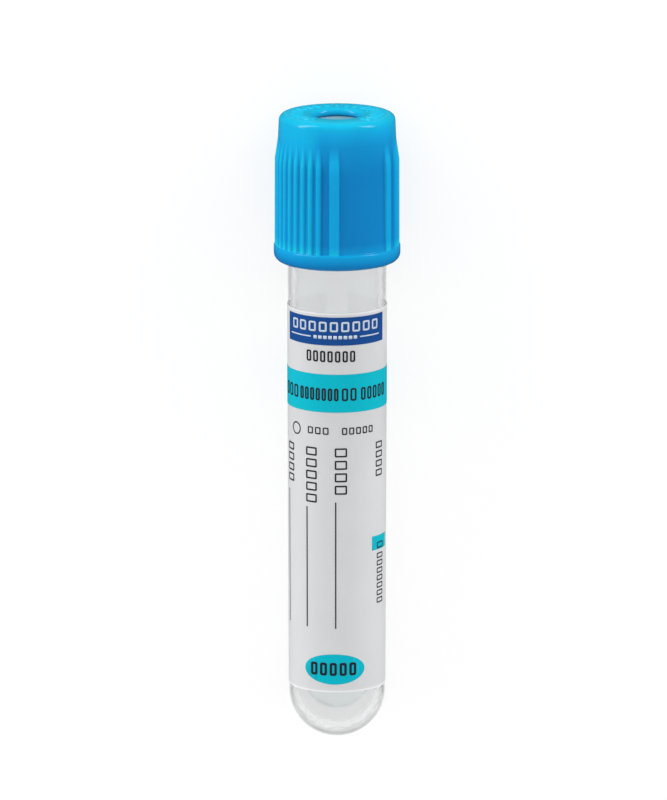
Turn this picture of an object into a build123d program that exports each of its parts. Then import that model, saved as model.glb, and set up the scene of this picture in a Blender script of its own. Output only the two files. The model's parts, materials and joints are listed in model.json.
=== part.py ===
from build123d import *

import os
from math import acos, atan2, cos, degrees, hypot, pi, sin

# Blood collection tube, 13 x 75 mm, for a 3.6 ml draw on 0.4 ml of citrate solution.
# It can't stand on its round end, so it lies on that end and on the ring of its cap.
# Sizes are in millimetres. Heights run along the tube from the tip of its round end, angles
# run round it from its front, which faces up, and widths on the label run round it too.

# Tube: one clear moulding that draws in slightly from its mouth to its round end
tube_length = 75.0
mouth_diameter = 13.0
foot_diameter = 12.6
tube_wall = 1.0
base_thickness = 1.6
rim_round = 0.35

# Stopper: a rubber plug with a head that sits on the tube's rim
plug_length = 9.0
plug_clearance = 0.04
plug_chamfer = 0.7
seal_land = 2.2
seal_relief = 0.35
head_diameter = 13.2
head_height = 7.85
head_chamfer = 0.3
recess_diameter = 6.4
recess_draft = 0.5
septum_thickness = 4.2
dish_diameter = 8.0
dish_depth = 0.15

# Cap: a ribbed shell with a needle port, snapped over the stopper's head
cap_clearance = 0.05
skirt_overlap = 10.7
skirt_clearance = 0.3
skirt_round = 0.3
plate_thickness = 0.9
port_diameter = 6.4
port_round = 0.5
snap_depth = 0.4
snap_height = 1.2
snap_flat = 0.4
snap_drop = 3.8
top_wall = 0.95
top_round = 0.75
shoulder_wall = 1.05
shoulder_drop = 3.0
foot_wall = 1.22
ring_step = 0.43
ring_height = 2.2
ring_edge_round = 0.15
ring_flat = 0.1

# Ribs: a wide rib at each side of the two smooth panels, and narrow ribs between them
rib_height = 0.31
rib_draft = 0.03
rib_trim = 0.04
rib_width = 0.84
rib_full_drop = 5.9
rib_count = 12
rib_offset = 44.75
wide_rib_width = 1.35
wide_rib_round = 0.3
wide_rib_offset = 29.5
panel_angle = 26.75
panel_count = 2

# Raised dashes round the back and the sides of the needle port
dash_count = 19
dash_pitch = 15.0
dash_circle = 10.5
dash_length = 1.7
dash_width = 0.5
dash_height = 0.12

# Label: a film wrapped round the tube, with a gap at the back to see the sample through
neck_length = 5.8
label_rise = 1.0
label_gap = 3.1
label_thickness = 0.09

# Print: fields of colour. A drop runs down from the label's top edge, a rise up from its foot
ink_thickness = 0.03
field_drop = 0.55
field_height = 3.75
field_width = 15.1
field_middle = -0.35
band_drop = 8.2
band_height = 5.1
tab_drop = 30.5
tab_height = 1.9
tab_width = 3.4
tab_middle = 6.75
oval_rise = 1.1
oval_height = 4.1
oval_width = 8.3
oval_middle = -0.35
circle_drop = 15.8
circle_diameter = 1.7
circle_line = 0.17
circle_middle = -6.1
rule_drop = 25.9
rule_rise = 8.7
rule_width = 0.17

# Print: each word is a row of plain blocks, given by its left, its right and their spacing
block_share = 0.72
field_word = (-6.9, 6.1, 1.44)
field_word_drop = 1.25
field_word_height = 1.2
field_note = (-3.2, 2.7, 0.66)
field_note_drop = 3.0
field_note_height = 0.45
field_rule_widths = ((-7.1, -3.5), (3.0, 6.2))
heading = (-4.2, 2.6, 0.97)
heading_drop = 5.3
heading_height = 1.1
band_words = ((-9.0, -5.5, 1.17), (-5.2, 0.2, 0.77), (0.8, 2.7, 0.95), (3.4, 8.1, 0.94))
band_word_drop = 9.9
band_word_height = 1.3
note_words = ((-4.1, -1.0, 1.03), (0.7, 5.3, 0.92))
note_drop = 15.45
note_height = 0.7
oval_word = (-3.7, 2.7, 1.28)
oval_word_height = 1.7

# Print that runs down the label: a column's middle and length, or its drop and length
columns = ((-7.6, 6.0), (-3.5, 7.5), (0.5, 6.0))
column_drop = 18.1
column_pitch = 1.5
column_width = 1.0
side_columns = ((17.9, 4.4), (32.9, 8.8))
side_middle = 6.8
side_pitch = 1.1

# Additive: the solution that lies along the low side of the tube
additive_depth = 2.17
additive_gap = 0.2

# Worked out from the sizes above
mouth_radius = mouth_diameter / 2
foot_radius = foot_diameter / 2
dome_height = foot_radius
cavity_radius = foot_radius - tube_wall
cavity_dome_height = base_thickness + cavity_radius
plug_foot = tube_length - plug_length
head_radius = head_diameter / 2
head_top = tube_length + head_height
recess_top = head_top - dish_depth - septum_thickness
plate_foot = head_top + cap_clearance
cap_top = plate_foot + plate_thickness
cap_foot = tube_length - skirt_overlap
shell_radius = head_radius + cap_clearance
skirt_radius = mouth_radius + skirt_clearance
snap_middle = plate_foot - snap_drop
shoulder_radius = shell_radius + shoulder_wall
shoulder_height = cap_top - shoulder_drop
groove_radius = shell_radius + foot_wall
crest_radius = groove_radius + rib_height
crest_height = cap_top - rib_full_drop
ring_radius = groove_radius + ring_step
ring_round = ring_radius - skirt_radius - skirt_round - ring_flat
ring_top = cap_foot + ring_height
label_top = cap_foot - neck_length
label_foot = dome_height + label_rise
oval_drop = label_top - label_foot - oval_rise - oval_height

# The lean that sets the round end and the ring's rounded corner on one flat surface
corner_radius = ring_radius - ring_round
corner_reach = cap_foot + ring_round - dome_height
corner_slope = atan2(corner_reach, corner_radius)
lean = acos((foot_radius - ring_round) / hypot(corner_radius, corner_reach)) - corner_slope

# The tube's own frame. The part's origin is on that surface, under the middle of its length
along = Vector(0, cos(lean), sin(lean))
front = Vector(0, -sin(lean), cos(lean))
dash_edge = (dash_circle + dash_length) / 2
far_end = (cap_top + dash_height - dome_height) * cos(lean) + dash_edge * sin(lean)
tip = Vector(0, (foot_radius - far_end) / 2, foot_radius) - along * dome_height
tube_axis = Axis(tip, along)


def outward(angle):
    """The direction away from the axis at an angle round the tube."""
    return front.rotate(Axis((0, 0, 0), along), angle)


def section_plane(angle=0.0):
    """The half of the tube's section at an angle, where x is radius and y is height."""
    return Plane(origin=tip, x_dir=outward(angle), z_dir=outward(angle).cross(along))


def cross_plane(height):
    """The plane across the tube at a height, where x is its front."""
    return Plane(origin=tip + along * height, x_dir=front, z_dir=along)


def barrel_radius(height):
    """The tube's outer radius at a height above its round end."""
    rise = (height - dome_height) / (tube_length - dome_height)
    return foot_radius + (mouth_radius - foot_radius) * rise


def bore_radius(height):
    """The tube's inner radius at a height above its round end."""
    rise = (height - cavity_dome_height) / (tube_length - cavity_dome_height)
    return cavity_radius + (mouth_radius - foot_radius) * rise


def wrap_angle(width):
    """The angle that a width round the label covers."""
    return degrees(width / barrel_radius((label_foot + label_top) / 2))


label_width = 2 * pi * barrel_radius((label_foot + label_top) / 2) - label_gap


def film(left, right, foot, top, lift, thickness):
    """A film on the barrel from left to right and from foot to top."""
    foot_face = barrel_radius(foot) + lift
    top_face = barrel_radius(top) + lift
    with BuildSketch(section_plane(wrap_angle(left))) as edge:
        with BuildLine():
            Polyline(
                (foot_face, foot),
                (foot_face + thickness, foot),
                (top_face + thickness, top),
                (top_face, top),
                close=True,
            )
        make_face()
    revolve(edge.sketch, axis=tube_axis, revolution_arc=wrap_angle(right - left))


def ink(left, right, drop, height, layer=0):
    """A field of print on the label, or with layer 1 on a field of another colour."""
    top = label_top - drop
    film(left, right, top - height, top, label_thickness + layer * ink_thickness, ink_thickness)


def ink_patch(middle, width, drop, height, layer=0):
    """A field of print whose place is given by its middle and width."""
    ink(middle - width / 2, middle + width / 2, drop, height, layer)


def ink_row(word, drop, height, layer=0):
    """A row of plain blocks round the label, where a word would stand."""
    left, right, spacing = word
    count = round((right - left) / spacing)
    pitch = (right - left) / count
    for place in range(count):
        ink_patch(left + (place + 0.5) * pitch, block_share * pitch, drop, height, layer)


def ink_column(middle, drop, length, pitch):
    """A column of plain blocks down the label, where a word would stand."""
    for place in range(round(length / pitch)):
        ink_patch(middle, column_width, drop + place * pitch, block_share * pitch)


def ink_plane(middle, drop):
    """The plane that faces a place on the label, where x runs along the tube."""
    facing = outward(wrap_angle(middle))
    return Plane(origin=tip + along * (label_top - drop), x_dir=along, z_dir=facing)


os.makedirs("parts", exist_ok=True)

# Tube
with BuildPart() as tube:
    with BuildSketch(section_plane()):
        with BuildLine():
            CenterArc((0, dome_height), foot_radius, -90, 90)
            FilletPolyline(
                (foot_radius, dome_height),
                (mouth_radius, tube_length),
                (bore_radius(tube_length), tube_length),
                (cavity_radius, cavity_dome_height),
                radius=rim_round,
            )
            CenterArc((0, cavity_dome_height), cavity_radius, -90, 90)
            Line((0, 0), (0, base_thickness))
        make_face()
    revolve(axis=tube_axis)

tube.part.label = "tube"
export_step(tube.part, "parts/tube.step")

# Additive: a pool with a level surface, from the round end up to the plug
additive_top = plug_foot - additive_gap
with BuildPart() as additive:
    with BuildSketch(section_plane()):
        with BuildLine():
            CenterArc((0, cavity_dome_height), cavity_radius, -90, 90)
            Polyline(
                (cavity_radius, cavity_dome_height),
                (bore_radius(additive_top), additive_top),
                (0, additive_top),
                (0, base_thickness),
            )
        make_face()
    revolve(axis=tube_axis)
    split(bisect_by=Plane.XY.offset(tube_wall + additive_depth), keep=Keep.BOTTOM)

additive.part.label = "additive"
export_step(additive.part, "parts/additive.step")

# Stopper: two sealing lands on the plug, a snap groove round the head, a deep recess below
land_radius = bore_radius(plug_foot) - plug_clearance
waist_radius = land_radius - seal_relief
groove_floor = head_radius - snap_depth
groove_mouth = snap_height / 2 + cap_clearance
groove_flat = snap_flat / 2 + cap_clearance
recess_top_radius = recess_diameter / 2 - recess_draft
with BuildPart() as stopper:
    with BuildSketch(section_plane()):
        with BuildLine():
            TangentArc((0, head_top - dish_depth), (dish_diameter / 2, head_top), tangent=(1, 0))
            Polyline(
                (dish_diameter / 2, head_top),
                (head_radius - head_chamfer, head_top),
                (head_radius, head_top - head_chamfer),
                (head_radius, snap_middle + groove_mouth),
                (groove_floor, snap_middle + groove_flat),
                (groove_floor, snap_middle - groove_flat),
                (head_radius, snap_middle - groove_mouth),
                (head_radius, tube_length + head_chamfer),
                (head_radius - head_chamfer, tube_length),
                (land_radius, tube_length),
                (land_radius, tube_length - seal_land),
                (waist_radius, tube_length - seal_land - seal_relief),
                (waist_radius, plug_foot + seal_land + seal_relief),
                (land_radius, plug_foot + seal_land),
                (land_radius, plug_foot + plug_chamfer),
                (land_radius - plug_chamfer, plug_foot),
                (recess_diameter / 2, plug_foot),
                (recess_top_radius, recess_top - recess_top_radius),
            )
            CenterArc((0, recess_top - recess_top_radius), recess_top_radius, 0, 90)
            Line((0, recess_top), (0, head_top - dish_depth))
        make_face()
    revolve(axis=tube_axis)

stopper.part.label = "stopper"
export_step(stopper.part, "parts/stopper.step")

# Cap: the crest line trims the ribs, and the shell and the raised dashes join them
rib_foot = ring_top - ring_edge_round
crest_top_radius = crest_radius - rib_draft
rib_slope = (crest_top_radius - shoulder_radius) / (shoulder_height - crest_height)
rib_top = shoulder_height + (shoulder_height - crest_height) / 3
rib_end_radius = crest_top_radius - rib_slope * (rib_top - crest_height)
rib_root_radius = shell_radius + foot_wall / 4
rib_depth = crest_radius + rib_trim - rib_root_radius
rib_circle = rib_root_radius + rib_depth / 2
panel_pitch = 360 / panel_count
rib_spread = panel_pitch - 2 * rib_offset
bead_radius = shell_radius - snap_depth
port_radius = port_diameter / 2
skirt_top = tube_length + skirt_clearance
with BuildPart() as cap:
    with BuildSketch(cross_plane(rib_foot)):
        for panel in range(panel_count):
            middle = panel_angle + panel * panel_pitch
            with PolarLocations(rib_circle, rib_count, middle + rib_offset, rib_spread, endpoint=True):
                SlotOverall(rib_depth, rib_width)
            for side in (-1, 1):
                with PolarLocations(rib_circle, 1, middle + side * wide_rib_offset):
                    RectangleRounded(rib_depth, wide_rib_width, wide_rib_round)
    extrude(amount=rib_top - rib_foot)
    with BuildSketch(section_plane()):
        with BuildLine():
            Polyline(
                (shell_radius, rib_foot),
                (crest_radius, rib_foot),
                (crest_top_radius, crest_height),
                (rib_end_radius, rib_top),
                (shell_radius, rib_top),
                close=True,
            )
        make_face()
    revolve(axis=tube_axis, mode=Mode.INTERSECT)
    with BuildSketch(section_plane()):
        with BuildLine():
            FilletPolyline(
                (port_radius, plate_foot),
                (port_radius, cap_top),
                (shell_radius + top_wall, cap_top),
                (shoulder_radius, shoulder_height),
                (groove_radius, ring_top),
                (ring_radius, ring_top),
                (ring_radius, cap_foot),
                (skirt_radius, cap_foot),
                (skirt_radius, skirt_top),
                radius=[port_round, top_round, 0, 0, ring_edge_round, ring_round, skirt_round],
            )
            Polyline(
                (skirt_radius, skirt_top),
                (shell_radius, skirt_top),
                (shell_radius, snap_middle - snap_height / 2),
                (bead_radius, snap_middle - snap_flat / 2),
                (bead_radius, snap_middle + snap_flat / 2),
                (shell_radius, snap_middle + snap_height / 2),
                (shell_radius, plate_foot),
                (port_radius, plate_foot),
            )
        make_face()
    revolve(axis=tube_axis)
    dash_start = 180 - dash_pitch * (dash_count - 1) / 2
    with BuildSketch(cross_plane(cap_top)):
        with PolarLocations(dash_circle / 2, dash_count, dash_start, dash_pitch * dash_count):
            Rectangle(dash_length, dash_width)
    extrude(amount=dash_height)

cap.part.label = "cap"
export_step(cap.part, "parts/cap.step")

# Label
with BuildPart() as label:
    film(-label_width / 2, label_width / 2, label_foot, label_top, 0, label_thickness)

label.part.label = "label"
export_step(label.part, "parts/label.step")

# Dark blue print: a field at the top of the label
with BuildPart() as print_navy:
    ink_patch(field_middle, field_width, field_drop, field_height)

print_navy.part.label = "print_navy"
export_step(print_navy.part, "parts/print_navy.step")

# Pale print: two rows of blocks and two rules on the dark blue field
with BuildPart() as print_pale:
    ink_row(field_word, field_word_drop, field_word_height, layer=1)
    ink_row(field_note, field_note_drop, field_note_height, layer=1)
    for left, right in field_rule_widths:
        ink(left, right, field_note_drop + field_note_height / 2, rule_width, layer=1)

print_pale.part.label = "print_pale"
export_step(print_pale.part, "parts/print_pale.step")

# Teal print: an oval near the foot, a band all round and a tab at the right
with BuildPart() as oval:
    ink_patch(oval_middle, oval_width, oval_drop, oval_height)
    oval_radius = barrel_radius(label_top - oval_drop)
    with BuildSketch(ink_plane(oval_middle, oval_drop + oval_height / 2)):
        Ellipse(oval_height / 2, oval_radius * sin(oval_width / 2 / oval_radius))
    extrude(amount=mouth_diameter, mode=Mode.INTERSECT)

with BuildPart() as print_teal:
    add(oval.part)
    ink_patch(0, label_width, band_drop, band_height)
    ink_patch(tab_middle, tab_width, tab_drop, tab_height)

print_teal.part.label = "print_teal"
export_step(print_teal.part, "parts/print_teal.step")

# Dark print: words as blocks, lines to write on, and a plain circle
with BuildPart() as circle:
    ink_patch(circle_middle, circle_diameter, circle_drop - circle_diameter / 2, circle_diameter)
    with BuildSketch(ink_plane(circle_middle, circle_drop)):
        Circle(circle_diameter / 2)
        Circle(circle_diameter / 2 - circle_line, mode=Mode.SUBTRACT)
    extrude(amount=mouth_diameter, mode=Mode.INTERSECT)

with BuildPart() as print_dark:
    add(circle.part)
    ink_row(heading, heading_drop, heading_height)
    for word in band_words:
        ink_row(word, band_word_drop, band_word_height, layer=1)
    for word in note_words:
        ink_row(word, note_drop, note_height)
    for middle, length in columns:
        ink_column(middle, column_drop, length, column_pitch)
        rule_length = label_top - label_foot - rule_drop - rule_rise
        ink_patch(middle - column_width / 2, rule_width, rule_drop, rule_length)
    for drop, length in side_columns:
        ink_column(side_middle, drop, length, side_pitch)
    ink_row(oval_word, oval_drop + (oval_height - oval_word_height) / 2, oval_word_height, layer=1)

print_dark.part.label = "print_dark"
export_step(print_dark.part, "parts/print_dark.step")
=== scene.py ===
"""A blood collection tube with cap, stopper, label and additive, round its packed model.

Laid out as an add-on, and run as a script.
"""
import json
from math import atan2, cos, hypot, pi, radians, sin, sqrt

import bmesh
import bpy
from bpy.props import FloatProperty, FloatVectorProperty, IntProperty, PointerProperty
from mathutils import Matrix, Vector


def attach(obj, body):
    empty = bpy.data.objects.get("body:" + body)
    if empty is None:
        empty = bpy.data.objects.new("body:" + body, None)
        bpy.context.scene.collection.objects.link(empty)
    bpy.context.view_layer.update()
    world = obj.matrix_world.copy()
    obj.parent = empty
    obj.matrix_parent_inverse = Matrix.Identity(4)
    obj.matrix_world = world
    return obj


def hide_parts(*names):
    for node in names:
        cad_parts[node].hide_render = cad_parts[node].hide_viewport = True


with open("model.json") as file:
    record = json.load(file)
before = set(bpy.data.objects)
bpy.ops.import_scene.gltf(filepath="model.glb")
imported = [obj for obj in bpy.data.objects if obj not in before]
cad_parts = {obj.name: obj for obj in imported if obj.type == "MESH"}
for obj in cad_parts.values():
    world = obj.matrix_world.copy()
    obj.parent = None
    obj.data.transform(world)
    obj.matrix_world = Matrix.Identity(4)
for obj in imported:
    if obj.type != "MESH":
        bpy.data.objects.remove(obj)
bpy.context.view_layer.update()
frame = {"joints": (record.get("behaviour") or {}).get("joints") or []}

bl_info = {
    "name": "Blood Collection Tube",
    "version": (1, 0, 0),
    "blender": (4, 5, 0),
    "location": "View3D > Sidebar > Sample Tube",
    "description": "Builds a capped blood collection tube with its stopper, label and additive",
    "category": "Object",
}

MM = 0.001

# The tube's own frame: millimetres, height along +Z from the tip of the round end, front to -Y
JOINTS = {joint["name"]: joint for joint in frame["joints"]}
CAP_TOP = 83.8
ALONG = Vector(JOINTS["cap_twist"]["axis"]).normalized()
RIGHT = Vector((1, 0, 0))
FRONT = RIGHT.cross(ALONG)
TIP = Vector(JOINTS["cap_twist"]["pos_m"]) - ALONG * CAP_TOP * MM
TURN = Matrix((RIGHT, -FRONT, ALONG)).transposed()
TO_FRAME = Matrix.LocRotScale(TIP, TURN, (MM, MM, MM))

ROUND_STEPS = 5
DOME_STEPS = 28
TUBE_STEPS = 192

# A printed block's share of its pitch, and the margin before it
BLOCK, MARGIN = 0.72, 0.14


def size(name, millimetres, description):
    """A length that the panel shows."""
    return FloatProperty(
        name=name, description=description, default=millimetres * MM, min=0, unit="LENGTH",
        precision=5,
    )


def power(name, watts):
    """A lamp's power that the panel shows."""
    return FloatProperty(
        name=name, description="Power of the lamp", default=watts, min=0, unit="POWER"
    )


def colour(name, value, description):
    """A colour that the panel shows."""
    return FloatVectorProperty(
        name=name, description=description, default=value, size=3, min=0, max=1, subtype="COLOR"
    )


class TubeSettings(bpy.types.PropertyGroup):
    """The clear tube and what is in it"""

    length: size("Length", 75.0, "From the rim to the tip of the round end")
    mouth: size("Mouth", 13.0, "Outside diameter at the rim")
    foot: size("Foot", 12.6, "Outside diameter where the round end begins")
    wall: size("Wall", 1.0, "Thickness of the wall")
    base: size("Base", 1.6, "Thickness at the tip of the round end")
    rim: size("Rim rounding", 0.35, "Rounding of the rim's two edges")
    pool: size("Pool", 2.17, "Depth of the additive at the round end")
    plastic: colour("Plastic", (0.865, 0.875, 0.875), "Tint of the clear plastic")
    liquid: colour("Liquid", (0.93, 0.96, 0.965), "Tint of the additive")


class StopperSettings(bpy.types.PropertyGroup):
    """The rubber stopper"""

    plug: size("Plug", 9.0, "Length of the plug below the rim")
    head: size("Head", 13.2, "Diameter of the head")
    head_height: size("Head height", 7.85, "Height of the head above the rim")
    recess: size("Recess", 6.4, "Diameter of the recess under the plug")
    septum: size("Septum", 4.2, "Thickness that the needle pierces")
    rubber: colour("Rubber", (0.19, 0.36, 0.45), "Colour of the rubber")


class CapSettings(bpy.types.PropertyGroup):
    """The ribbed cap"""

    overlap: size("Overlap", 10.7, "How far the cap reaches below the rim")
    port: size("Port", 6.4, "Diameter of the needle port")
    top: size("Top", 15.2, "Diameter at the top")
    shoulder: size("Shoulder", 15.4, "Diameter where the ribs begin")
    groove: size("Groove", 15.74, "Diameter at the foot of the grooves and panels")
    crest: size("Crest", 16.36, "Diameter over the ribs")
    ring: size("Ring", 16.6, "Diameter of the ring at the foot")
    rib: size("Rib", 0.84, "Width of a narrow rib")
    wide_rib: size("Wide rib", 1.35, "Width of a rib beside a panel")
    dashes: IntProperty(name="Dashes", description="Raised dashes by the port", default=19, min=0)
    # The cap's colours hold painted light and shade: darkest in the grooves, lighter on ribs and
    # edges, lightest on dashes
    plastic: colour("Plastic", (0.0008, 0.195, 0.51), "Colour of the grooves and panels")
    crests: colour("Rib crests", (0.0015, 0.36, 0.71), "Colour of the ribs")
    edges: colour("Edges", (0.003, 0.48, 0.71), "Colour of the thin places")
    lit_dashes: colour("Marks", (0.012, 0.55, 0.80), "Colour of the raised dashes")


class LabelSettings(bpy.types.PropertyGroup):
    """The label and its inks"""

    gap: size("Gap", 3.1, "Gap between the film's ends, at the back")
    top: size("Top", 58.5, "Height of the upper edge above the tip")
    foot: size("Foot", 7.3, "Height of the lower edge above the tip")
    thickness: size("Thickness", 0.09, "Thickness of the film")
    ink: size("Ink", 0.03, "Thickness of a layer of ink")
    film: colour("Film", (0.79, 0.795, 0.805), "Colour of the film")
    navy: colour("Navy", (0.010, 0.066, 0.26), "Colour of the top field")
    pale: colour("Pale", (0.56, 0.63, 0.73), "Colour of the blocks on the top field")
    teal: colour("Teal", (0.003, 0.45, 0.56), "Colour of the band, tab and oval")
    dark: colour("Dark", (0.022, 0.022, 0.03), "Colour of the dark blocks and lines")


class StageSettings(bpy.types.PropertyGroup):
    """The floor, the lights and the camera"""

    floor: colour("Floor", (0.9, 0.9, 0.9), "Colour of the floor")
    floor_size: size("Floor size", 8000.0, "Length of the floor's sides")
    sky: FloatProperty(name="Sky", description="Strength of light from all round", default=0.82)
    shine: FloatProperty(name="Shine", description="Strength of the sky in gloss", default=0.05)
    left: power("Left lamp", 15.0)
    right: power("Right lamp", 10.2)
    lens: FloatProperty(name="Lens", description="Focal length of the camera", default=429.4)


def in_mm(settings, *names):
    """Some of a group's lengths, in millimetres."""
    return [getattr(settings, name) / MM for name in names]


def clipped(share):
    """A share, kept between 0 and 1."""
    return max(0.0, min(1.0, share))


# Shapes ------------------------------------------------------------------------------------


class Outline:
    """A wire outline, where x is the radius and z the height, drawn from corner to corner."""

    def __init__(self, radius, height):
        self.bm = bmesh.new()
        self.first = self.last = self.bm.verts.new((radius, 0, height))
        self.rounded = []

    def to(self, radius, height, rounding=0.0, cuts=0):
        """A straight run to the next corner, which may be rounded."""
        start = self.last.co.copy()
        for cut in range(1, cuts + 2):
            point = start.lerp(Vector((radius, 0, height)), cut / (cuts + 1))
            vertex = self.bm.verts.new(point)
            self.bm.edges.new((self.last, vertex))
            self.last = vertex
        if rounding:
            self.rounded.append((self.last, rounding))
        return self

    def turn(self, height, angle, steps=DOME_STEPS):
        """An arc whose centre is on the axis."""
        made = bmesh.ops.spin(
            self.bm, geom=[self.last], cent=(0, 0, height), axis=(0, -1, 0), dvec=(0, 0, 0),
            angle=radians(angle), steps=steps, space=Matrix(), use_merge=False, use_duplicate=False,
        )
        self.last = made["geom_last"][0]
        return self

    def spun(self, steps, closed=True):
        """The shape that the outline sweeps in a full turn."""
        if closed:
            self.bm.edges.new((self.last, self.first))
        for corner, rounding in self.rounded:
            round_corners(self.bm, [corner], rounding)
        bmesh.ops.spin(
            self.bm, geom=self.bm.verts[:] + self.bm.edges[:], cent=(0, 0, 0), axis=(0, 0, 1),
            dvec=(0, 0, 0), angle=2 * pi, steps=steps, space=Matrix(), use_merge=True,
            use_duplicate=False,
        )
        return cleaned(self.bm)


def round_corners(bm, corners, rounding, steps=ROUND_STEPS):
    """Rounds corners of a wire outline or a flat face."""
    bmesh.ops.bevel(
        bm, geom=corners, offset=rounding, offset_type="OFFSET", segments=steps, profile=0.5,
        affect="VERTICES", material=-1,
    )


def cleaned(bm):
    """Merges doubles and turns the faces outwards."""
    bmesh.ops.remove_doubles(bm, verts=bm.verts[:], dist=0.0005)
    bmesh.ops.dissolve_degenerate(bm, edges=bm.edges[:], dist=0.0001)
    bmesh.ops.recalc_face_normals(bm, faces=bm.faces[:])
    return bm


def piece(name, bm, surface, body, node, slot):
    """A mesh in the shared frame, which rides on a body and stands for a node."""
    bm.transform(TO_FRAME)
    mesh = bpy.data.meshes.new(name)
    bm.to_mesh(mesh)
    bm.free()
    mesh.shade_smooth()
    mesh.materials.append(surface)
    made = bpy.data.objects.new(name, mesh)
    bpy.context.scene.collection.objects.link(made)
    shading = made.modifiers.new("Even shading", "WEIGHTED_NORMAL")
    shading.keep_sharp = True
    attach(made, body)
    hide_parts(node)


# Materials ---------------------------------------------------------------------------------


class Value:
    """A socket that gives a number, a vector or a colour. Its + and * add Math nodes."""

    def __init__(self, paint, socket):
        self.paint, self.socket = paint, socket

    def maths(self, operation, *operands, clamp=False):
        settings = {"operation": operation, "use_clamp": clamp}
        return self.paint.node("Math", settings, dict(enumerate(operands)))

    def __add__(self, other):
        return self.maths("ADD", self, other)

    def __mul__(self, other):
        return self.maths("MULTIPLY", self, other)

    def clamped(self):
        return self.maths("ADD", self, 0.0, clamp=True)

    __radd__, __rmul__ = __add__, __mul__


class Paint:
    """The nodes of a material or of the sky, under construction."""

    def __init__(self, owner, output="OutputMaterial"):
        owner.use_nodes = True
        self.owner, self.tree = owner, owner.node_tree
        self.tree.nodes.clear()
        self.output = self.tree.nodes.new("ShaderNode" + output)

    def node(self, kind, settings=None, inputs=None, output=0):
        """Any node: its settings are made first, then its sockets' values and links."""
        made = self.tree.nodes.new("ShaderNode" + kind)
        for name, value in (settings or {}).items():
            if name == "stops":
                ramp = made.color_ramp.elements
                while len(ramp) < len(value):
                    ramp.new(1.0)
                for element, (position, shade) in zip(ramp, value):
                    element.position, element.color = position, (*shade, 1.0)
            else:
                setattr(made, name, value)
        for name, value in (inputs or {}).items():
            if isinstance(value, Value):
                self.tree.links.new(value.socket, made.inputs[name])
            else:
                made.inputs[name].default_value = value
        return Value(self, made.outputs[output])

    def place(self, scale=(1, 1, 1)):
        """The place on the piece in the tube's own frame, in millimetres times the scale."""
        where = self.node("TexCoord", output="Object")
        own = self.node(
            "Mapping", {"vector_type": "TEXTURE"},
            {"Vector": where, "Location": TIP, "Rotation": TURN.to_euler(), "Scale": (MM, MM, MM)},
        )
        if tuple(scale) == (1, 1, 1):
            return own
        return self.node("Mapping", {"vector_type": "POINT"}, {"Vector": own, "Scale": scale})

    def noise(self, place, scale, detail=3.0, roughness=0.5):
        """Noise from 0 to 1, with scale features to the millimetre."""
        inputs = {"Vector": place, "Scale": scale, "Detail": detail, "Roughness": roughness}
        return self.node("TexNoise", None, inputs)

    def spread(self, value, low, high):
        """The value stretched so that low becomes 0 and high becomes 1."""
        return self.node(
            "MapRange", {"clamp": True}, {"Value": value, "From Min": low, "From Max": high}
        )

    def mix(self, share, first, second, blend="MIX"):
        """A mix of two colours."""
        first, second = (c if isinstance(c, Value) else (*c, 1.0) for c in (first, second))
        settings = {"data_type": "RGBA", "blend_type": blend}
        return self.node("Mix", settings, {0: share, 6: first, 7: second}, output=2)

    def bump(self, height, distance):
        """A bump, with its distance in millimetres."""
        inputs = {"Height": height, "Distance": distance * MM, "Strength": 1.0}
        return self.node("Bump", None, inputs)

    def principled(self, **inputs):
        """A Principled shader, with underscores for the spaces in its sockets."""
        sockets = {name.replace("_", " "): value for name, value in inputs.items()}
        return self.node("BsdfPrincipled", None, sockets)

    def mixed(self, share, first, second):
        """A mix of two shaders."""
        return self.node("MixShader", None, {0: share, 1: first, 2: second})

    def ray(self, kind):
        """1 for rays of a kind, and 0 for others."""
        return self.node("LightPath", output=f"Is {kind} Ray")

    def inside(self):
        """1 for rays that have gone through a clear surface, and 0 for others."""
        return self.node("LightPath", output="Transmission Depth").clamped()

    def seen(self):
        """1 for what is seen, also in and through clear pieces, and 0 for what lights them."""
        direct = self.ray("Camera") + self.ray("Transmission")
        return (direct + self.ray("Glossy") * self.inside()).clamped()

    def edges(self):
        """0 where a surface faces the eye, and 1 where it turns away."""
        facing = self.node("LayerWeight", None, {"Blend": 0.5}, "Facing")
        return self.spread(facing, 0.57, 0.82)

    def see_through(self, share, shader):
        """A shader that lets a share of the rays straight through."""
        clear = self.node("BsdfTransparent", None, {"Color": (1, 1, 1, 1)})
        return self.mixed(share, shader, clear)

    def finish(self, shader):
        """The owner, whose nodes end in a shader."""
        self.tree.links.new(shader.socket, self.output.inputs["Surface"])
        return self.owner


def material(name):
    """The paint of a new material."""
    return Paint(bpy.data.materials.new(name))


def tinted(rgb, factor):
    """A colour made lighter or darker."""
    return tuple(min(1.0, c * factor) for c in rgb)


def clear_plastic(rgb):
    """Clear moulded plastic with faint flow lines along the tube, clearest at its edges."""
    paint = material("moulded_clear_plastic")
    flow = paint.noise(paint.place((1, 1, 0.04)), 0.9, 2.0)
    haze = paint.noise(paint.place(), 0.25, 2.0)
    glass = paint.principled(
        Base_Color=paint.mix(haze, tinted(rgb, 0.985), tinted(rgb, 1.015)),
        Roughness=0.18 + 0.08 * haze,
        IOR=1.22,
        Transmission_Weight=1.0,
        Normal=paint.bump(flow, 0.006),
    )
    glass = paint.see_through(paint.edges() * 0.78, glass)
    return paint.finish(paint.see_through(paint.ray("Shadow") * 0.85, glass))


def solution(rgb):
    """A clear watery solution with a slight swell on its surface."""
    paint = material("clear_solution")
    swell = paint.noise(paint.place((1, 1, 0.3)), 0.35, 1.0)
    liquid = paint.principled(
        Base_Color=paint.mix(swell, tinted(rgb, 0.98), tinted(rgb, 1.02)),
        Roughness=0.08,
        IOR=1.25,
        Transmission_Weight=1.0,
        Normal=paint.bump(swell, 0.01),
    )
    return paint.finish(paint.see_through(paint.ray("Shadow") * 0.9, liquid))


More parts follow.
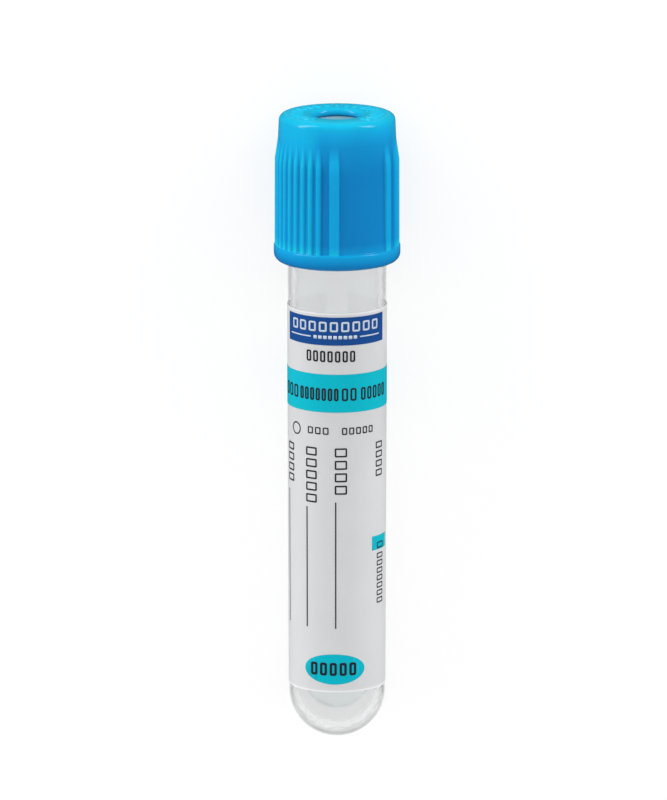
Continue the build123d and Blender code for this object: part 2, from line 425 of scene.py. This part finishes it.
def rubber(rgb):
    """Matt moulded rubber with a fine grain and pale dust."""
    paint = material("moulded_rubber")
    grain = paint.noise(paint.place(), 9.0, 4.0, 0.6)
    cloud = paint.noise(paint.place(), 0.5, 2.0)
    base = paint.mix(paint.spread(cloud, 0.3, 0.7), tinted(rgb, 0.88), tinted(rgb, 1.1))
    dust = paint.spread(grain, 0.62, 0.78)
    return paint.finish(paint.principled(
        Base_Color=paint.mix(dust * 0.25, base, tinted(rgb, 1.6)),
        Roughness=0.62 + 0.2 * grain,
        Specular_IOR_Level=0.35,
        Normal=paint.bump(grain, 0.02),
    ))


def cap_plastic(deep, middle, light, raised):
    """Moulded plastic with painted light and shade: lighter on top, edges, crests and dashes."""
    paint = material("moulded_blue_plastic")
    # rise is painted light and shade, from the shade under the ring to the highlight on the dashes
    rise = paint.node("Attribute", {"attribute_name": "rise"}, output="Fac")
    stops = ((0.0, deep), (0.6, middle), (0.86, light), (1.0, raised))
    cloud = paint.noise(paint.place((1, 1, 0.35)), 0.35, 2.0)
    grain = paint.noise(paint.place(), 14.0, 3.0, 0.6)
    body = paint.node("ValToRGB", {"stops": stops}, {"Fac": rise})
    shade = 0.94 + 0.12 * cloud
    grey = paint.node("CombineColor", None, {"Red": shade, "Green": shade, "Blue": shade})
    return paint.finish(paint.principled(
        Base_Color=paint.mix(1.0, body, grey, "MULTIPLY"),
        Roughness=0.15 + 0.08 * grain,
        Specular_IOR_Level=0.3,
        Normal=paint.bump(grain, 0.003),
    ))


def label_film(rgb, foot, top):
    """White film with a faint fibre and painted highlights on its edges, letting some light
    through.
    """
    paint = material("label_film")
    fibre = paint.noise(paint.place((1, 1, 0.4)), 7.0, 4.0, 0.6)
    cloud = paint.noise(paint.place(), 0.16, 2.0)
    tone = (fibre * 0.35 + cloud * 0.65).clamped()
    white = paint.mix(paint.spread(tone, 0.25, 0.75), tinted(rgb, 0.965), tinted(rgb, 1.03))
    height = paint.node("SeparateXYZ", None, {"Vector": paint.place()}, output="Z")
    foot_end, top_end, fade = foot + 0.2, top - 0.16, 0.12
    # Painted highlights: thin lighter bands along the film's lower and top edges
    foot_highlight = paint.spread(height, foot_end + fade, foot_end)
    top_highlight = paint.spread(height, top_end - fade, top_end)
    shade = paint.mix(foot_highlight + top_highlight, white, tinted(rgb, 1.22))
    front = paint.principled(
        Base_Color=shade,
        Roughness=0.36 + 0.12 * fibre,
        Specular_IOR_Level=0.2,
        Normal=paint.bump(fibre, 0.006),
    )
    through = paint.node("BsdfTranslucent", None, {"Color": shade})
    film = paint.mixed(0.3, front, through)
    film = paint.see_through(paint.ray("Transmission") * 0.95, film)
    return paint.finish(paint.see_through(paint.ray("Shadow") * 0.6, film))


def ink(name, rgb, mottle=0.07):
    """Printed ink, slightly mottled."""
    paint = material(name)
    speck = paint.noise(paint.place(), 5.0, 4.0, 0.65)
    thin, thick = tinted(rgb, 1 - mottle), tinted(rgb, 1 + mottle)
    return paint.finish(paint.principled(
        Base_Color=paint.mix(paint.spread(speck, 0.3, 0.7), thin, thick),
        Roughness=0.3 + 0.15 * speck,
        Specular_IOR_Level=0.05,
        Normal=paint.bump(speck, 0.003),
    ))


# Operators ---------------------------------------------------------------------------------


class SAMPLETUBE_OT_stage(bpy.types.Operator):
    """Makes the floor, the sky, the lamps and the camera"""

    bl_idname = "sampletube.stage"
    bl_label = "Stage"

    # In metres
    target = Vector((0, 0, 0.008))
    under = 0.00002
    camera_height, camera_offset, aim_height, aim_left = 1.222, 0.330, 0.0454, 0.00047
    # The floor as it is seen, its own light, its reflections, and the white behind it
    seen_floor, floor_glow, shiny_floor, white = 0.27, 0.755, 0.06, 0.98

    def execute(self, context):
        settings = context.scene.tube_stage
        self.floor(settings)
        self.sky(context.scene, settings)
        lamps = (
            ("left_lamp", settings.left, (-1.35, 0.95, 0.4), (1.9, 0.5)),
            ("right_lamp", settings.right, (1.3, 0.95, 0.45), (1.2, 0.45)),
        )
        for name, watts, place, across in lamps:
            lamp = bpy.data.lights.new(name, "AREA")
            lamp.energy, lamp.shape = watts, "ELLIPSE"
            lamp.size, lamp.size_y = across
            stand = bpy.data.objects.new(name, lamp)
            stand.location = place
            aim = self.target - Vector(place)
            stand.rotation_euler = aim.to_track_quat("-Z", "Y").to_euler()
            context.scene.collection.objects.link(stand)
        self.camera(context.scene, settings.lens)
        context.scene.view_settings.view_transform = "Standard"
        return {"FINISHED"}

    def floor(self, settings):
        """A pale floor, which looks white and keeps the object's shadow."""
        bm = bmesh.new()
        bmesh.ops.create_grid(bm, x_segments=1, y_segments=1, size=settings.floor_size / 2)
        mesh = bpy.data.meshes.new("floor")
        bm.to_mesh(mesh)
        bm.free()
        floor = bpy.data.objects.new("floor", mesh)
        floor.location.z = -self.under
        bpy.context.scene.collection.objects.link(floor)
        paint = material("pale_floor")
        cloud = paint.noise(paint.node("TexCoord", output="Object"), 3.0, 3.0)
        shade = paint.mix(cloud, tinted(settings.floor, 0.99), tinted(settings.floor, 1.01))
        plain = paint.node("BsdfDiffuse", None, {"Color": shade})
        pale, dark = (
            paint.node("BsdfDiffuse", None, {"Color": (tone, tone, tone, 1)})
            for tone in (self.seen_floor, self.shiny_floor)
        )
        glow = paint.node("Emission", None, {"Color": (1, 1, 1, 1), "Strength": self.floor_glow})
        lifted = paint.node("AddShader", None, {0: pale, 1: glow})
        unseen = paint.mixed(paint.ray("Glossy"), plain, dark)
        mesh.materials.append(paint.finish(paint.mixed(paint.seen(), unseen, lifted)))

    def sky(self, scene, settings):
        """Even light from all round, which looks white."""
        paint = Paint(bpy.data.worlds.new("sky"), "OutputWorld")
        light, shine, white = (
            paint.node("Background", None, {"Color": (1, 1, 1, 1), "Strength": strength})
            for strength in (settings.sky, settings.shine, self.white)
        )
        unseen = paint.mixed(paint.ray("Glossy"), light, shine)
        scene.world = paint.finish(paint.mixed(paint.seen(), unseen, white))

    def camera(self, scene, lens):
        """A camera over the tube, which looks down on it from its cap's side."""
        camera = bpy.data.cameras.new("camera")
        camera.lens, camera.sensor_width = lens, 36.0
        camera.clip_start, camera.clip_end = 0.05, 30.0
        holder = bpy.data.objects.new("camera", camera)
        holder.location = TIP + FRONT * self.camera_height + ALONG * self.camera_offset
        aim = TIP + ALONG * self.aim_height - RIGHT * self.aim_left
        holder.rotation_mode = "QUATERNION"
        holder.rotation_quaternion = look(holder.location, aim)
        scene.collection.objects.link(holder)
        scene.camera = holder


def look(place, aim):
    """The turn of a camera that looks from a place to a point, with its top towards the cap."""
    back = (place - aim).normalized()
    side = ALONG.cross(back).normalized()
    return Matrix((side, back.cross(side), back)).transposed().to_quaternion()


def barrel_radius(tube, height):
    """The tube's outside radius at a height."""
    length, mouth, foot = in_mm(tube, "length", "mouth", "foot")
    rise = (height - foot / 2) / (length - foot / 2)
    return foot / 2 + (mouth - foot) / 2 * rise


def bore_radius(tube, height):
    """The tube's inside radius at a height."""
    length, mouth, foot, wall, base = in_mm(tube, "length", "mouth", "foot", "wall", "base")
    start = base + foot / 2 - wall
    return foot / 2 - wall + (mouth - foot) / 2 * (height - start) / (length - start)


class SAMPLETUBE_OT_tube(bpy.types.Operator):
    """Makes the clear tube, with its round end and its rounded rim"""

    bl_idname = "sampletube.tube"
    bl_label = "Tube"

    def execute(self, context):
        tube = context.scene.tube_body
        length, mouth, foot, wall, base, rim = in_mm(
            tube, "length", "mouth", "foot", "wall", "base", "rim"
        )
        inner = foot / 2 - wall
        outline = Outline(0, 0).turn(foot / 2, 90)
        outline.to(mouth / 2, length, rim).to(bore_radius(tube, length), length, rim)
        outline.to(inner, base + inner).turn(base + inner, -90)
        shape = outline.spun(TUBE_STEPS, closed=False)
        piece("tube_moulding", shape, clear_plastic(tube.plastic), "tube", "tube", "clear_pet")
        return {"FINISHED"}


class SAMPLETUBE_OT_additive(bpy.types.Operator):
    """Makes the additive, a pool that lies along the low side of the tube and ends in a bead"""

    bl_idname = "sampletube.additive"
    bl_label = "Additive"

    steps = 96
    # In millimetres
    overlap = 0.02
    end = 45.0

    def execute(self, context):
        tube = context.scene.tube_body
        foot, wall, base, pool = in_mm(tube, "foot", "wall", "base", "pool")
        inner = foot / 2 - wall
        outline = Outline(0, base - self.overlap).turn(base + inner, 90)
        outline.to(bore_radius(tube, self.end) + self.overlap, self.end, cuts=40).turn(self.end, 90)
        bm = outline.spun(self.steps, closed=False)
        up = TURN.inverted() @ Vector((0, 0, 1))
        level = TO_FRAME.inverted() @ Vector((0, 0, (wall + pool) * MM))
        cut = bmesh.ops.bisect_plane(
            bm, geom=bm.verts[:] + bm.edges[:] + bm.faces[:], dist=0.0001, plane_co=level,
            plane_no=up, clear_outer=True, clear_inner=False,
        )
        rim = [edge for edge in cut["geom_cut"] if isinstance(edge, bmesh.types.BMEdge)]
        made = bmesh.ops.contextual_create(bm, geom=rim)
        bmesh.ops.triangulate(bm, faces=made["faces"])
        liquid = solution(tube.liquid)
        piece("citrate_pool", cleaned(bm), liquid, "tube", "additive", "citrate_solution")
        return {"FINISHED"}


class SAMPLETUBE_OT_stopper(bpy.types.Operator):
    """Makes the rubber stopper: its head, its plug with two sealing lands, and its recess"""

    bl_idname = "sampletube.stopper"
    bl_label = "Stopper"

    steps = 160
    # In millimetres
    clearance = 0.04
    dish, dish_radius = 0.15, 4.0
    groove_drop, groove_depth = 3.75, 0.4
    groove_mouth, groove_floor = 1.3, 0.5
    land_length, waist_depth = 2.2, 0.35
    recess_draft = 0.5
    soft, blunt = 0.1, 0.15

    def execute(self, context):
        tube, stopper = context.scene.tube_body, context.scene.tube_stopper
        length = tube.length / MM
        plug, head, height, recess, septum = in_mm(
            stopper, "plug", "head", "head_height", "recess", "septum"
        )
        top, foot, side = length + height, length - plug, head / 2
        outline = Outline(0, top - self.dish)
        for share in (0.2, 0.4, 0.6, 0.8, 1.0):
            outline.to(self.dish_radius * share, top - self.dish * (1 - share**2))
        outline.to(side, top, 0.4)
        groove, inner = top - self.groove_drop, side - self.groove_depth
        mouth, floor = self.groove_mouth / 2, self.groove_floor / 2
        outline.to(side, groove + mouth, self.soft).to(inner, groove + floor, self.soft)
        outline.to(inner, groove - floor, self.soft).to(side, groove - mouth, self.soft)
        land = bore_radius(tube, foot) - self.clearance
        waist, slope = land - self.waist_depth, self.land_length + self.waist_depth
        outline.to(side, length, 0.3).to(land, length, 0.05)
        outline.to(land, length - self.land_length, self.blunt)
        outline.to(waist, length - slope, self.blunt).to(waist, foot + slope, self.blunt)
        outline.to(land, foot + self.land_length, self.blunt)
        outline.to(land, foot, 0.6).to(recess / 2, foot, 0.25)
        recess_top = recess / 2 - self.recess_draft
        roof = top - self.dish - septum
        outline.to(recess_top, roof - recess_top).turn(roof - recess_top, 90)
        shape = outline.spun(self.steps, closed=False)
        piece("rubber_stopper", shape, rubber(stopper.rubber), "stopper", "stopper", "grey_rubber")
        return {"FINISHED"}


class SAMPLETUBE_OT_cap(bpy.types.Operator):
    """Makes the cap: a shell with ribs, smooth panels, a ring, a needle port and raised dashes"""

    bl_idname = "sampletube.cap"
    bl_label = "Cap"

    # In degrees
    panel_angle = 26.75
    dash_pitch = 15
    ribs_from, ribs_fade = 48, 9
    # Columns of faces from the middle of a panel to the middle of the next, and their angles
    columns = (0, 59, 89, 265, 295, 354)
    angles = (0, 29.5, 44.75, 135.25, 150.5, 180)
    # Columns from one narrow rib to the next
    narrow_pitch = 16
    # In millimetres
    top_plate = 0.9
    ring_height = 2.2
    shoulder_drop = 3.0
    crest_drop = 5.9
    shell, skirt = 6.65, 6.8
    skirt_rise = 0.3
    snap_drop, snap_depth = 3.8, 0.4
    snap_foot, snap_face = 1.2, 0.4
    draft = 0.03
    blend = 0.05
    rib_foot, rib_full = 0.02, 0.25
    wall_depth, rib_end_drop = 0.1, 1.0
    dash_size = (1.7, 0.5, 0.3)
    dash_radius, dash_rise = 5.25, 0.12
    plate_edge = 1.5
    # Painted light: how much lighter the colour is made on the ribbed sides, wide ribs and narrow
    # ones
    side_light, wide_light, narrow_light = 0.36, 0.48, 0.28

    def execute(self, context):
        cap, tube = context.scene.tube_cap, context.scene.tube_body
        length = tube.length / MM
        overlap, port, top, shoulder, groove, ring = in_mm(
            cap, "overlap", "port", "top", "shoulder", "groove", "ring"
        )
        foot = length - overlap
        self.foot, self.ring_top = foot, foot + self.ring_height
        self.shoulder_height = CAP_TOP - self.shoulder_drop
        self.crest_height = CAP_TOP - self.crest_drop
        self.shoulder_radius = shoulder / 2
        self.crest, self.rib, self.wide_rib = in_mm(cap, "crest", "rib", "wide_rib")
        self.crest /= 2
        plate, skirt_top = CAP_TOP - self.top_plate, length + self.skirt_rise
        fall = (self.shoulder_height - self.crest_height) / (self.shoulder_height - self.ring_top)
        outline = Outline(port / 2, plate)
        outline.to(port / 2, CAP_TOP, 0.6).to(top / 2, CAP_TOP, 0.75)
        outline.to(shoulder / 2, self.shoulder_height)
        outline.to((shoulder + (groove - shoulder) * fall) / 2, self.crest_height, cuts=13)
        outline.to(groove / 2, self.ring_top, 0.12, cuts=8)
        outline.to(ring / 2, self.ring_top, 0.2).to(ring / 2, foot, 1.1)
        outline.to(self.skirt, foot, 0.3).to(self.skirt, skirt_top, 0.1)
        snap, inner = plate - self.snap_drop, self.shell - self.snap_depth
        half, flat = self.snap_foot / 2, self.snap_face / 2
        outline.to(self.shell, skirt_top, 0.1).to(self.shell, snap - half)
        outline.to(inner, snap - flat, 0.1).to(inner, snap + flat, 0.1)
        outline.to(self.shell, snap + half).to(self.shell, plate, 0.1)
        bm = outline.spun(2 * self.columns[-1])
        self.raise_ribs(bm)
        self.add_dashes(bm, cap.dashes)
        plastic = cap_plastic(cap.plastic, cap.crests, cap.edges, cap.lit_dashes)
        piece("ribbed_cap", bm, plastic, "cap", "cap", "light_blue_plastic")
        return {"FINISHED"}

    def column_angle(self, column):
        """The angle round the tube of a column of faces, from the middle of the first panel."""
        half, column = divmod(column, self.columns[-1])
        stops = list(zip(self.columns, self.angles))
        for (start, low), (end, high) in zip(stops, stops[1:]):
            if column <= end:
                return half * 180 + low + (high - low) * (column - start) / (end - start)

    def crest_line(self, height):
        """The radius of the ribs' crests at a height."""
        full = self.crest - self.draft
        if height < self.crest_height:
            share = (height - self.ring_top) / (self.crest_height - self.ring_top)
            return self.crest - self.draft * share
        slope = (full - self.shoulder_radius) / (self.shoulder_height - self.crest_height)
        return full - slope * (height - self.crest_height)

    def rib_radius(self, angle, height):
        """The radius of the nearest rib's surface, which is well inside the shell between ribs."""
        angle %= 180
        crest = self.crest_line(height)
        start, end = self.angles[2], self.angles[3]
        wide, other = self.angles[1], self.angles[4]
        pitch = (end - start) / ((self.columns[3] - self.columns[2]) / self.narrow_pitch)
        if start - pitch / 2 < angle < end + pitch / 2:
            offset = (angle - start + pitch / 2) % pitch - pitch / 2
            half, rounding = self.rib / 2, self.rib / 2
        else:
            offset = min((angle - wide, angle - other), key=abs)
            half, rounding = self.wide_rib / 2, 0.3
        offset = abs(radians(offset)) * crest
        side = offset - (half - rounding)
        if side >= rounding:
            return crest - rounding - 2 * (side - rounding) - 0.02
        return crest - rounding + sqrt(rounding**2 - max(side, 0) ** 2)

    def raise_ribs(self, bm):
        """Moves the columns to their angles and the wall out to the ribs."""
        # rise holds painted light and shade, which the cap's colour ramp reads
        rise = bm.verts.layers.float.new("rise")
        step = pi / self.columns[-1]
        for vertex in bm.verts:
            radius, height = hypot(vertex.co.x, vertex.co.y), vertex.co.z
            column = round(atan2(vertex.co.y, vertex.co.x) / step) % (2 * self.columns[-1])
            angle = self.column_angle(column)
            outer = radius > self.shoulder_radius - self.wall_depth
            vertex[rise] = self.glow(radius, height)
            if outer and self.ring_top - 0.001 < height < CAP_TOP - self.rib_end_drop:
                rib = self.rib_radius(angle, height)
                gap = rib - radius
                moved = (rib + radius + sqrt(gap**2 + self.blend**2)) / 2
                ribbed = clipped((self.ribs_from - abs(angle % 180 - 90)) / self.ribs_fade)
                crest = clipped((moved - radius - self.rib_foot) / self.rib_full)
                light = self.wide_light + (self.narrow_light - self.wide_light) * ribbed
                # Painted light: lighter colour on the ribbed sides and on the crests
                vertex[rise] += self.side_light * ribbed + light * crest
                radius = moved
            turn = radians(self.panel_angle + angle)
            vertex.co = (radius * sin(turn), -radius * cos(turn), height)
        bmesh.ops.recalc_face_normals(bm, faces=bm.faces[:])

    def glow(self, radius, height):
        """Painted light and shade: lighter near the top and the ring's top edge, darker under it.
        """
        if radius < self.shoulder_radius - self.plate_edge:
            return 0.6 + 0.25 * clipped((height - CAP_TOP + self.top_plate) / self.top_plate)
        levels = (
            (self.foot, 0.0), (self.foot + 0.9, 0.1),
            (self.ring_top - 0.35, 0.5), (self.ring_top, 0.55), (self.ring_top + 0.3, 0.05),
            (self.shoulder_height - 4, 0.05), (self.shoulder_height, 0.3),
            (CAP_TOP - 0.8, 0.72), (CAP_TOP, 0.85),
        )
        for (low, start), (high, end) in zip(levels, levels[1:]):
            if height <= high:
                return start + (end - start) * clipped((height - low) / (high - low))
        return 1.0

    def add_dashes(self, bm, count):
        """Raised dashes round the back and the sides of the port, painted lighter as a highlight.
        """
        rise = bm.verts.layers.float["rise"]
        for place in range(count):
            turn = radians(90 + self.dash_pitch * (place - (count - 1) / 2))
            made = bmesh.ops.create_cube(bm, size=1.0)["verts"]
            bmesh.ops.scale(bm, vec=self.dash_size, verts=made)
            middle = CAP_TOP + self.dash_rise - self.dash_size[2] / 2
            bmesh.ops.translate(bm, vec=(self.dash_radius, 0, middle), verts=made)
            bmesh.ops.rotate(
                bm, cent=(0, 0, 0), matrix=Matrix.Rotation(turn, 3, "Z"), verts=made
            )
            edges = list({edge for vertex in made for edge in vertex.link_edges})
            # A painted highlight: the dashes take the lightest colour
            for vertex in made:
                vertex[rise] = 1.0
            bmesh.ops.bevel(
                bm, geom=edges, offset=0.07, offset_type="OFFSET", segments=2, profile=0.5,
                affect="EDGES", material=-1,
            )


class Flat:
    """Flat shapes on the unrolled label: x runs round the tube, y is the height, in millimetres."""

    clearance = 0.005

    def __init__(self, tube, label, layer):
        self.tube, self.bm = tube, bmesh.new()
        top, foot, film, ink_height = in_mm(label, "top", "foot", "thickness", "ink")
        self.middle = barrel_radius(tube, (top + foot) / 2)
        self.width = 2 * pi * self.middle - label.gap / MM
        self.lift = self.clearance + (film + (layer - 1) * ink_height if layer else 0)
        self.thickness = ink_height if layer else film

    def box(self, left, right, foot, top, rounding=0.0, stroke=0.0):
        """A rectangle, or with a stroke its outline."""
        shape = bmesh.new()
        bmesh.ops.create_grid(shape, x_segments=1, y_segments=1, size=0.5)
        bmesh.ops.scale(shape, vec=(right - left, top - foot, 1), verts=shape.verts)
        if rounding:
            round_corners(shape, shape.verts[:], rounding, 4)
        bmesh.ops.translate(shape, vec=((left + right) / 2, (foot + top) / 2, 0), verts=shape.verts)
        self.add(shape, stroke)

    def oval(self, middle, height, width, tall, stroke=0.0):
        """An ellipse, or with a stroke its outline."""
        shape = bmesh.new()
        bmesh.ops.create_circle(shape, cap_ends=True, segments=72, radius=0.5)
        bmesh.ops.scale(shape, vec=(width, tall, 1), verts=shape.verts)
        bmesh.ops.translate(shape, vec=(middle, height, 0), verts=shape.verts)
        self.add(shape, stroke)

    def add(self, shape, stroke):
        """Joins a shape to the others, or with a stroke a frame of it."""
        if stroke:
            faces = shape.faces[:]
            bmesh.ops.inset_region(
                shape, faces=faces, thickness=stroke, use_even_offset=True, use_boundary=True
            )
            bmesh.ops.delete(shape, geom=faces, context="FACES_ONLY")
        mesh = bpy.data.meshes.new("shape")
        shape.to_mesh(mesh)
        shape.free()
        self.bm.from_mesh(mesh)
        bpy.data.meshes.remove(mesh)

    def wrapped(self, step=0.3):
        """The shapes as films on the barrel."""
        bm = self.bm
        low = min(vertex.co.x for vertex in bm.verts)
        high = max(vertex.co.x for vertex in bm.verts)
        for cut in range(int(low / step) - 1, int(high / step) + 2):
            bmesh.ops.bisect_plane(
                bm, geom=bm.verts[:] + bm.edges[:] + bm.faces[:], dist=0.0001,
                plane_co=(cut * step, 0, 0), plane_no=(1, 0, 0),
            )
        made = bmesh.ops.extrude_face_region(bm, geom=bm.faces[:])
        raised = [item for item in made["geom"] if isinstance(item, bmesh.types.BMVert)]
        bmesh.ops.translate(bm, vec=(0, 0, self.thickness), verts=raised)
        for vertex in bm.verts:
            width, height, lift = vertex.co
            radius = barrel_radius(self.tube, height) + self.lift + lift
            turn = width / self.middle
            vertex.co = (radius * sin(turn), -radius * cos(turn), height)
        return cleaned(bm)


class SAMPLETUBE_OT_label(bpy.types.Operator):
    """Makes the label film"""

    bl_idname = "sampletube.label"
    bl_label = "Label"

    def execute(self, context):
        tube, label = context.scene.tube_body, context.scene.tube_label
        top, foot = in_mm(label, "top", "foot")
        flat = Flat(tube, label, 0)
        flat.box(-flat.width / 2, flat.width / 2, foot, top)
        film = label_film(label.film, foot, top)
        piece("label_wrap", flat.wrapped(), film, "tube", "label", "white_label_film")
        return {"FINISHED"}


class SAMPLETUBE_OT_print(bpy.types.Operator):
    """Makes the label's print: fields of colour, with plain blocks in the place of words"""

    # Places are millimetres round from the front's middle, and down or up from the label's edges

    bl_idname = "sampletube.print"
    bl_label = "Print"

    def execute(self, context):
        tube, label = context.scene.tube_body, context.scene.tube_label
        top, foot = in_mm(label, "top", "foot")

        navy = Flat(tube, label, 1)
        navy.box(-7.9, 7.2, top - 4.3, top - 0.55, 0.12)
        self.add(navy, "navy", ink("printed_navy", label.navy))

        pale = Flat(tube, label, 2)
        row(pale, -6.9, 6.1, 9, top - 2.5, 1.35, 0.24)
        row(pale, -3.2, 2.7, 9, top - 3.45, 0.45, 0.0)
        for left, right in ((-7.1, -3.5), (3.0, 6.2)):
            pale.box(left, right, top - 3.3, top - 3.13)
        self.add(pale, "pale", ink("printed_pale", label.pale))

        teal = Flat(tube, label, 1)
        teal.box(-teal.width / 2, teal.width / 2, top - 13.3, top - 8.2)
        teal.box(5.05, 8.45, top - 32.4, top - 30.5)
        teal.oval(-0.35, foot + 3.15, 8.3, 4.1)
        self.add(teal, "teal", ink("printed_teal", label.teal))

        black = ink("printed_dark", label.dark)
        dark = Flat(tube, label, 1)
        row(dark, -4.3, 2.5, 7, top - 6.55, 1.5, 0.23)
        dark.oval(-6.1, top - 15.93, 1.7, 1.7, 0.17)
        row(dark, -4.15, -0.95, 3, top - 16.3, 0.95, 0.16)
        row(dark, 0.5, 5.2, 5, top - 16.3, 0.95, 0.16)
        columns = ((-7.5, 4, 1.4, 24.5), (-3.5, 5, 1.58, 26.2), (0.5, 4, 1.68, 25.4))
        for middle, count, pitch, line_top in columns:
            column(dark, middle, count, top - 18.1, pitch, 1.6, 0.2)
            dark.box(middle - 0.76, middle - 0.59, foot + 8.7, top - line_top)
        column(dark, 6.45, 4, top - 17.8, 1.25, 1.45, 0.18)
        column(dark, 6.75, 7, top - 32.9, 1.01, 1.45, 0.16)
        self.add(dark, "dark", black)

        over = Flat(tube, label, 2)
        words = ((-9.0, -5.5, 3), (-5.35, 0.3, 7), (0.45, 2.7, 2), (3.05, 7.8, 5))
        for left, right, count in words:
            row(over, left, right, count, top - 11.75, 1.7, 0.23)
        column(over, 6.75, 1, top - 31.4, 1.2, 1.45, 0.16)
        row(over, -3.75, 2.75, 5, foot + 2.3, 1.75, 0.32)
        self.add(over, "dark", black, "_on_teal")
        return {"FINISHED"}

    def add(self, flat, name, printed, more=""):
        bm = flat.wrapped()
        piece("ink_" + name + more, bm, printed, "tube", "print_" + name, name + "_ink")


def row(flat, left, right, count, foot, height, stroke):
    """A row of plain blocks, where a word would stand."""
    pitch = (right - left) / count
    for place in range(count):
        start = left + (place + MARGIN) * pitch
        flat.box(start, start + BLOCK * pitch, foot, foot + height, 0.16 * height, stroke)


def column(flat, middle, count, top, pitch, width, stroke):
    """A column of plain blocks, where a word would stand."""
    for place in range(count):
        start = top - place * pitch
        end = start - BLOCK * pitch
        flat.box(middle - width / 2, middle + width / 2, end, start, 0.15, stroke)


class SAMPLETUBE_PT_panel(bpy.types.Panel):
    """The sample tube's operators and settings"""

    bl_label = "Sample Tube"
    bl_idname = "SAMPLETUBE_PT_panel"
    bl_space_type = "VIEW_3D"
    bl_region_type = "UI"
    bl_category = "Sample Tube"

    def draw(self, context):
        for operator in OPERATORS:
            self.layout.operator(operator.bl_idname)
        for name in GROUPS:
            box = self.layout.box()
            box.label(text=GROUPS[name].__doc__)
            for setting in GROUPS[name].__annotations__:
                box.prop(getattr(context.scene, name), setting)


GROUPS = {
    "tube_body": TubeSettings,
    "tube_stopper": StopperSettings,
    "tube_cap": CapSettings,
    "tube_label": LabelSettings,
    "tube_stage": StageSettings,
}
OPERATORS = (
    SAMPLETUBE_OT_stage,
    SAMPLETUBE_OT_tube,
    SAMPLETUBE_OT_additive,
    SAMPLETUBE_OT_stopper,
    SAMPLETUBE_OT_cap,
    SAMPLETUBE_OT_label,
    SAMPLETUBE_OT_print,
)


def register():
    for made in (*GROUPS.values(), *OPERATORS, SAMPLETUBE_PT_panel):
        bpy.utils.register_class(made)
    for name, group in GROUPS.items():
        setattr(bpy.types.Scene, name, PointerProperty(type=group))


def unregister():
    for name in GROUPS:
        delattr(bpy.types.Scene, name)
    for made in (SAMPLETUBE_PT_panel, *reversed(OPERATORS), *reversed(GROUPS.values())):
        bpy.utils.unregister_class(made)


def main():
    register()
    for operator in OPERATORS:
        namespace, name = operator.bl_idname.split(".")
        getattr(getattr(bpy.ops, namespace), name)()


if __name__ == "__main__":
    main()
